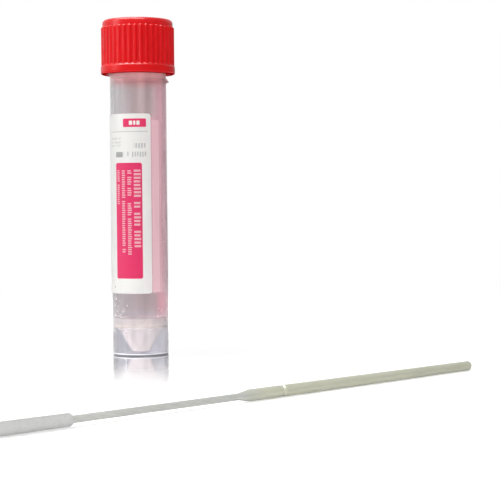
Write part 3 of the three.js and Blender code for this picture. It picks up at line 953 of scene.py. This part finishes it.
in_metres = add(drops, "VectorMath SCALE", {"Vector": raised, "Scale": MM})
spot = add(drops, "VectorMath ADD", [in_metres, size["axis"]])
points = add(drops, "GeometryNodePoints", {"Count": size["count"], "Position": spot})
bead = add(drops, "GeometryNodeMeshIcoSphere", {"Radius": MM, "Subdivisions": 2})
soft = add(drops, "GeometryNodeSetShadeSmooth", {"Geometry": bead})
facing = add(drops, "FunctionNodeAlignRotationToVector", {"Vector": outward}, axis="X")
pressed = add(drops, "VectorMath SCALE", {"Vector": DROP_SHAPE, "Scale": girth})
beads = add(drops, "GeometryNodeInstanceOnPoints", {
    "Points": points, "Instance": soft, "Rotation": facing, "Scale": pressed,
})
end_tree(drops, size["Material"], end, size["Geometry"], beads.outputs[0])
print("drop tree:", len(drops.nodes), "nodes")

# %% [markdown]
# The medium is turned like the tube, to the inside of the cone less a hair's breadth. Two splashes of
# drops then grow on it, one at the left and a smaller one at the right.

# %% Transport medium
MEDIUM_GAP = 0.05
CREEP = 0.2
DROPS_START = 0.6
SPLASHES = [  # count, from and to which angle, reach above the level, largest drop, seed
    (34, 195, 245, 6.0, 0.26, 4),
    (16, -45, 0, 4.0, 0.22, 9),
]
medium_low, medium_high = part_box("medium")
level_mm = medium_high.z / MM
floor_mm = medium_low.z / MM
wet_radius = cone_radius(level_mm + CREEP, cone_wall) - MEDIUM_GAP
medium = turned("pink_medium", rounded([
    (0, floor_mm, 0),
    (cone_radius(floor_mm, cone_wall) - MEDIUM_GAP, floor_mm, 0.4),
    (wet_radius, level_mm + CREEP, 0),
    (wet_radius - 0.7, level_mm - 0.3, 1.2),
    (0, level_mm - 0.35, 0),
]), TUBE_SEGMENTS)
for count, first, last, high, largest, seed in SPLASHES:
    grow(medium, drops, {
        "axis": axis, "wall": skirt_inner - MEDIUM_GAP, "count": count, "seed": seed,
        "from angle": math.radians(first), "to angle": math.radians(last),
        "low": level_mm + DROPS_START, "high": level_mm + high,
        "smallest": 0.08, "largest": largest, "Material": liquid,
    })
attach(medium, "tube")
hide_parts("medium")
print("medium:", len(medium.data.polygons), "faces with its drops")

# %% [markdown]
# The swab doesn't lie level: it rests on the fat of its tip and on the end of its handle. Its line is
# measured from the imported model, as the direction in which the stick's points spread most, and both
# swab pieces are then turned about that line.

# %% Where the swab lies
def points_of(node):
    """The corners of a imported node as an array."""
    return np.array([corner.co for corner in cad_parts[node].data.vertices])


stick_points = points_of("swab_shaft")
tip_points = points_of("swab_tip")
spread = np.cov((stick_points - stick_points.mean(0)).T)
heading = np.linalg.eigh(spread)[1][:, -1]
if (stick_points.mean(0) - tip_points.mean(0)) @ heading < 0:
    heading = -heading
side = np.cross((0, 0, 1), heading)
side /= np.linalg.norm(side)
upright = np.cross(heading, side)
middle = [(np.ptp(stick_points @ way) / 2 + (stick_points @ way).min()) for way in (side, upright)]
start = (tip_points @ heading).min()
origin = side * middle[0] + upright * middle[1] + heading * start
swab_place = Matrix.Identity(4)
for column, way in enumerate((side, upright, heading, origin)):
    swab_place.col[column].xyz = way
SWAB_LENGTH = ((stick_points @ heading).max() - start) / MM
print(f"swab: {SWAB_LENGTH:.1f} mm long, heading", [round(float(part), 3) for part in heading])

# %% [markdown]
# The stick is one moulding: a thin flexible shaft, a taper to a thick neck, the notch where it is
# snapped off over the tube, and the handle, which has a little draft. Its map of distances is laid on
# afterwards, face by face.

# %% Swab stick
THIN_RADIUS = 0.75
NECK_START, NECK_TAPER = 69.9, 3.5
NOTCH_START, NOTCH_END = 79.4, 80.6
NOTCH_RADIUS = 1.05
HANDLE_RADIUS = 1.33
HANDLE_END_RADIUS = 1.2
STICK_START = 1.2
STICK_END = SWAB_LENGTH - 0.04
STICK_SEGMENTS = 40
stick = turned("moulded_swab_stick", rounded([
    (0, STICK_START, 0),
    (THIN_RADIUS, STICK_START, 0.35),
    (THIN_RADIUS, NECK_START - NECK_TAPER, 3.0),
    (HANDLE_RADIUS, NECK_START, 1.5),
    (HANDLE_RADIUS, NOTCH_START, 0.12),
    (NOTCH_RADIUS, NOTCH_START + 0.4, 0.1),
    (NOTCH_RADIUS, NOTCH_END - 0.4, 0.1),
    (HANDLE_RADIUS, NOTCH_END, 0.12),
    (HANDLE_END_RADIUS, STICK_END, 0.6),
    (0, STICK_END, 0),
]), STICK_SEGMENTS, swab_place)
stick_map = stick.data.uv_layers.new(name=STICK_MAP)
back_home = swab_place.inverted()
for loop in stick.data.loops:
    spot = back_home @ stick.data.vertices[loop.vertex_index].co
    stick_map.data[loop.index].uv = (spot.z / MM, 0)
stick.data.materials.append(stick_plastic)
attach(stick, "tube")
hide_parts("swab_shaft")
print("stick:", len(stick.data.polygons), "faces")

# %% [markdown]
# The tip is sprayed with nylon fibres that stand on end in glue. The body of the pile is a lumpy
# sleeve, and on it stand some ten thousand short fibres, each a cone of three faces, leaning a little
# at random. Real fibres are a third as thick as these, which is too fine to show.

# %% Tree for the flock
SHORTEST = 0.65
pile, size, end = shape_tree("flock", ["line", "foot"], [
    "lumps", "lump size", "length", "thickness", "per square", "lean",
], ["seed"])
here = add(pile, "GeometryNodeInputPosition")
normal = add(pile, "GeometryNodeInputNormal")
from_foot = add(pile, "VectorMath SUBTRACT", [here, size["foot"]])
onto = add(pile, "VectorMath PROJECT", [from_foot, size["line"]])
arm = add(pile, "VectorMath SUBTRACT", [from_foot, onto])
facing = add(pile, "VectorMath DOT_PRODUCT", [arm, normal])
outside = add(pile, "FunctionNodeCompare", [facing.outputs["Value"], 0.0], data_type="FLOAT")
metres = add(pile, "Math MULTIPLY", [size["lump size"], MM])
fineness = add(pile, "Math DIVIDE", [1.0, metres])
noise = add(pile, "TexNoise", {"Vector": here, "Scale": fineness, "Detail": 1.0})
swing = add(pile, "Math SUBTRACT", [noise.outputs["Fac"], 0.5])
lump = add(pile, "Math MULTIPLY", [swing, size["lumps"]])
lump_metres = add(pile, "Math MULTIPLY", [lump, MM])
shift = add(pile, "VectorMath SCALE", {"Vector": normal, "Scale": lump_metres})
sleeve = add(pile, "GeometryNodeSetPosition", {
    "Geometry": size["Geometry"], "Selection": outside, "Offset": shift,
})
density = add(pile, "Math MULTIPLY", [size["per square"], MM ** -2])
roots = add(pile, "GeometryNodeDistributePointsOnFaces", {
    "Mesh": sleeve, "Selection": outside, "Density": density, "Seed": size["seed"],
})
least = add(pile, "Math MULTIPLY", [size["lean"], -1.0])
leaning = add(pile, "FunctionNodeRandomValue", {
    0: add(pile, "CombineXYZ", [least] * 3), 1: add(pile, "CombineXYZ", [size["lean"]] * 3),
    "Seed": size["seed"],
}, data_type="FLOAT_VECTOR").outputs[0]
aim = add(pile, "VectorMath ADD", [roots.outputs["Normal"], leaning])
turned_to = add(pile, "FunctionNodeAlignRotationToVector", {"Vector": aim}, axis="Z")
tall = add(pile, "Math MULTIPLY", [size["length"], MM])
thick = add(pile, "Math MULTIPLY", [size["thickness"], MM / 2])
hair = add(pile, "GeometryNodeMeshCone", {
    "Vertices": 3, "Radius Top": 0.0, "Radius Bottom": thick, "Depth": tall,
}, fill_type="NONE")
stature = add(pile, "FunctionNodeRandomValue", {
    2: SHORTEST, 3: 1.0, "Seed": size["seed"],
}, data_type="FLOAT").outputs[1]
fibres = add(pile, "GeometryNodeInstanceOnPoints", {
    "Points": roots.outputs["Points"], "Instance": hair.outputs["Mesh"], "Rotation": turned_to,
    "Scale": stature,
})
end_tree(pile, size["Material"], end, sleeve.outputs[0], fibres.outputs[0])
print("flock tree:", len(pile.nodes), "nodes")

# %% [markdown]
# The sleeve stays inside the tip's real outline by the length of a fibre, so that the fibres fill it
# out. Its bore is a little wider than the stick that goes into it.

# %% Swab tip
FLOCK_LENGTH = 20.5
FIBRE_LENGTH = 0.27
SLEEVE_RADIUS = 1.6 - FIBRE_LENGTH - 0.01
SHOULDER_RADIUS = 1.4 - FIBRE_LENGTH
TIP_SEGMENTS = 48
sleeve_section = spaced(rounded([
    (0, FIBRE_LENGTH, 0),
    (SLEEVE_RADIUS, FIBRE_LENGTH, SLEEVE_RADIUS * 0.98),
    (SHOULDER_RADIUS + 0.1, FLOCK_LENGTH - FIBRE_LENGTH, 0.5),
    (THIN_RADIUS + 0.05, FLOCK_LENGTH - FIBRE_LENGTH, 0),
    (THIN_RADIUS + 0.05, STICK_START - 0.05, 0),
    (0, STICK_START - 0.05, 0),
]), 1.8, FLOCK_LENGTH - 1.0, 0.25)
tip = turned("flocked_swab_tip", sleeve_section, TIP_SEGMENTS, swab_place)
grow(tip, pile, {
    "line": Vector(heading), "foot": Vector(origin), "lumps": 0.09, "lump size": 0.9,
    "length": FIBRE_LENGTH, "thickness": 0.07, "per square": 60.0, "lean": 0.45, "seed": 11,
    "Material": flock,
})
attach(tip, "tube")
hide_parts("swab_tip")
print("tip:", len(tip.data.polygons), "faces with its fibres")

# %% [markdown]
# # Studio
# A product studio stands white plastic on a pale table in front of white paper. The camera looks
# almost level, from a little to the right of the tube, with a long lens.

# %% Camera
LENS_MM = 108.4
CAMERA_RIGHT = 31.95
CAMERA_BACK = 435
CAMERA_HEIGHT = 45
CAMERA_DIP = math.radians(2.0)
CAMERA_LEAN = math.radians(0.48)
camera_data = bpy.data.cameras.new("camera")
camera_data.lens = LENS_MM
camera_data.sensor_width = 36
camera = bpy.data.objects.new("camera", camera_data)
camera.location = axis + Vector((CAMERA_RIGHT, -CAMERA_BACK, CAMERA_HEIGHT)) * MM
camera.rotation_euler = (math.pi / 2 - CAMERA_DIP, CAMERA_LEAN, 0)
camera_data.clip_start = 0.01
camera_data.clip_end = 20
bpy.context.scene.collection.objects.link(camera)
bpy.context.scene.camera = camera
print("camera at", [round(v, 4) for v in camera.location])

# %% [markdown]
# One large soft box at the upper left does most of the lighting, which leaves the right-hand side of
# the cap deeper in colour. A low lamp in front and a panel behind the tube soften the shadows, and
# neither shows in a reflection or through the plastic. A lamp overhead lights the top of the cap, and
# a wider one beside it makes only highlights. The room shows at full white to the camera, and dimmer
# through clear plastic. As light it is weak, and weaker from the right. In reflections it is bright
# overhead, but at the height of the tube it is bright behind and to the left alone, which leaves a
# darker side to every rib.

# %% Lights
def soft_box(name, place, target, width, height, watts):
    """A rectangular area light at a place in mm from the tube's foot, aimed at a target."""
    data = bpy.data.lights.new(name, "AREA")
    data.shape = "RECTANGLE"
    data.size = width * MM
    data.size_y = height * MM
    data.energy = watts
    lamp = bpy.data.objects.new(name, data)
    lamp.location = axis + Vector(place) * MM
    aim = axis + Vector(target) * MM - lamp.location
    lamp.rotation_euler = aim.to_track_quat("-Z", "Y").to_euler()
    bpy.context.scene.collection.objects.link(lamp)
    return lamp


LAMPS = {  # place, target, width, height, watts
    "left_soft_box": ((-560, -190, 300), (0, 0, 55), 140, 320, 1.4),
    "front_fill": ((110, -575, 60), (0, 0, 40), 260, 100, 1.45),
    "back_panel": ((-60, 520, 90), (0, 0, 45), 260, 260, 1.2),
    "top_light": ((-60, -60, 640), (0, 0, 90), 300, 120, 2.0),
    "top_shine": ((-100, -120, 560), (0, 0, 90), 640, 160, 8.0),
}
lamps = {name: soft_box(name, *facts) for name, facts in LAMPS.items()}
UNSEEN = {"front_fill": ["camera", "glossy", "transmission"], "top_shine": ["diffuse", "transmission"]}
UNSEEN["back_panel"] = UNSEEN["front_fill"]
for name, ways in UNSEEN.items():
    for way in ways:
        setattr(lamps[name], "visible_" + way, False)
print("lamps:", ", ".join(lamps))

# %% [markdown]
# The room is a world of plain white. Its brightness depends on the direction and on the kind of ray
# that asks for it, and `room_level` sorts out the rays, for the table too.

# %% White room
def room_level(tree, lit, through, mirrored=1.0):
    """White to the camera, and other levels as light, through clear plastic and in reflections."""
    rays = add(tree, "LightPath").outputs
    glossy = add(tree, "MapRange", {"Value": rays["Is Glossy Ray"], "To Min": lit, "To Max": mirrored})
    plain = add(tree, "MapRange", {"Value": rays["Is Camera Ray"], "To Min": glossy, "To Max": 1.0})
    return add(tree, "MapRange", {
        "Value": rays["Is Transmission Ray"], "To Min": plain, "To Max": through,
    })


ROOM_LIGHT, ROOM_SHADE = 0.27, 0.08
ROOM_THROUGH = 0.62
DARK_SIDE = 0.2
BRIGHT_SIDE = (-0.5, 0.87, 0.0)
CEILING_STARTS, CEILING_FULL = 0.13, 0.18
room = bpy.data.worlds.new("white_room")
room.use_nodes = True
room.node_tree.nodes.clear()
tree = room.node_tree
way = add(tree, "TexCoord").outputs["Generated"]
to_bright = add(tree, "VectorMath DOT_PRODUCT", [way, BRIGHT_SIDE])
to_back = add(tree, "MapRange", {
    "Value": to_bright.outputs["Value"], "From Min": -0.3, "From Max": 0.9,
    "To Min": DARK_SIDE, "To Max": 1.0,
})
way_parts = add(tree, "SeparateXYZ", [way]).outputs
dimmed = add(tree, "MapRange", {
    "Value": way_parts["X"], "From Min": 0.2, "From Max": 0.7, "To Min": 1.0, "To Max": DARK_SIDE,
})
walls = add(tree, "Math MULTIPLY", [to_back, dimmed])
ceiling = add(tree, "MapRange", {
    "Value": way_parts["Z"], "From Min": CEILING_STARTS, "From Max": CEILING_FULL,
})
mirrored = add(tree, "Math MAXIMUM", [walls, ceiling])
lit = add(tree, "MapRange", {
    "Value": way_parts["X"], "From Min": -0.5, "From Max": 0.5, "To Min": ROOM_LIGHT, "To Max": ROOM_SHADE,
})
strength = room_level(tree, lit, ROOM_THROUGH, mirrored)
paper_white = add(tree, "Background", {"Color": (1, 1, 1, 1), "Strength": strength})
sky = add(tree, "OutputWorld")
tree.links.new(paper_white.outputs[0], sky.inputs["Surface"])
bpy.context.scene.world = room
bpy.context.scene.view_settings.view_transform = "Standard"
print("room light", ROOM_LIGHT)

# %% [markdown]
# The table is a sheet of white acrylic: mostly matt, with a blurred reflection at a low angle that
# dies away from the tube. A white glow lifts its brightness, and that glow fades out towards the foot
# of the tube, which paints a ring of shade round it. Further out it turns into the same white as the
# room, so that no horizon shows, while near the object it keeps the object's shadow. Each of those is
# a fade with distance.

# %% Table
TABLE_RADIUS = 6000
FADES = {  # from and to which distance in mm, and the value at each
    "lift": (8, 22, 0.0, 0.5),
    "mirror": (12, 105, 1.75, 0.0),
    "white": (120, 320, 0.0, 1.0),
}
table_top, tree, output = finish_tree("white_acrylic_table")
distance = add(tree, "VectorMath LENGTH", [coordinates(tree, axis)])
fade = {}
for title, (near, far, at_near, at_far) in FADES.items():
    fade[title] = add(tree, "MapRange", {
        "Value": distance.outputs["Value"], "From Min": near * MM, "From Max": far * MM,
        "To Min": at_near, "To Max": at_far,
    }, interpolation_type="SMOOTHSTEP")
matt = add(tree, "BsdfDiffuse", {"Color": linear("#ebebeb")})
# Painted shade: the glow is gone within 8 mm of the axis and weak out to 22 mm, which darkens a ring round
# the foot.
lift = add(tree, "Math MULTIPLY", [room_level(tree, 0.0, 0.2), fade["lift"]])
glow = add(tree, "Emission", {"Color": (1, 1, 1, 1), "Strength": lift})
sheet = add(tree, "AddShader", [matt, glow])
polish = add(tree, "BsdfGlossy", {"Color": (1, 1, 1, 1), "Roughness": 0.12})
grazing = add(tree, "Fresnel", {"IOR": 1.5})
share = add(tree, "Math MULTIPLY", [grazing, fade["mirror"]], use_clamp=True)
near_table = add(tree, "MixShader", {0: share, 1: sheet, 2: polish})
far_light = room_level(tree, 0.6, ROOM_THROUGH, 0.3)
far_table = add(tree, "Emission", {"Color": (1, 1, 1, 1), "Strength": far_light})
whole = add(tree, "MixShader", {0: fade["white"], 1: near_table, 2: far_table})
tree.links.new(whole.outputs[0], output.inputs["Surface"])
bm = bmesh.new()
bmesh.ops.create_circle(bm, cap_ends=True, segments=96, radius=TABLE_RADIUS * MM)
table_mesh = bpy.data.meshes.new("white_table")
bm.to_mesh(table_mesh)
bm.free()
table_mesh.transform(Matrix.Translation(axis))
table_mesh.materials.append(table_top)
table = bpy.data.objects.new("white_table", table_mesh)
bpy.context.scene.collection.objects.link(table)
print("table:", TABLE_RADIUS, "mm radius")
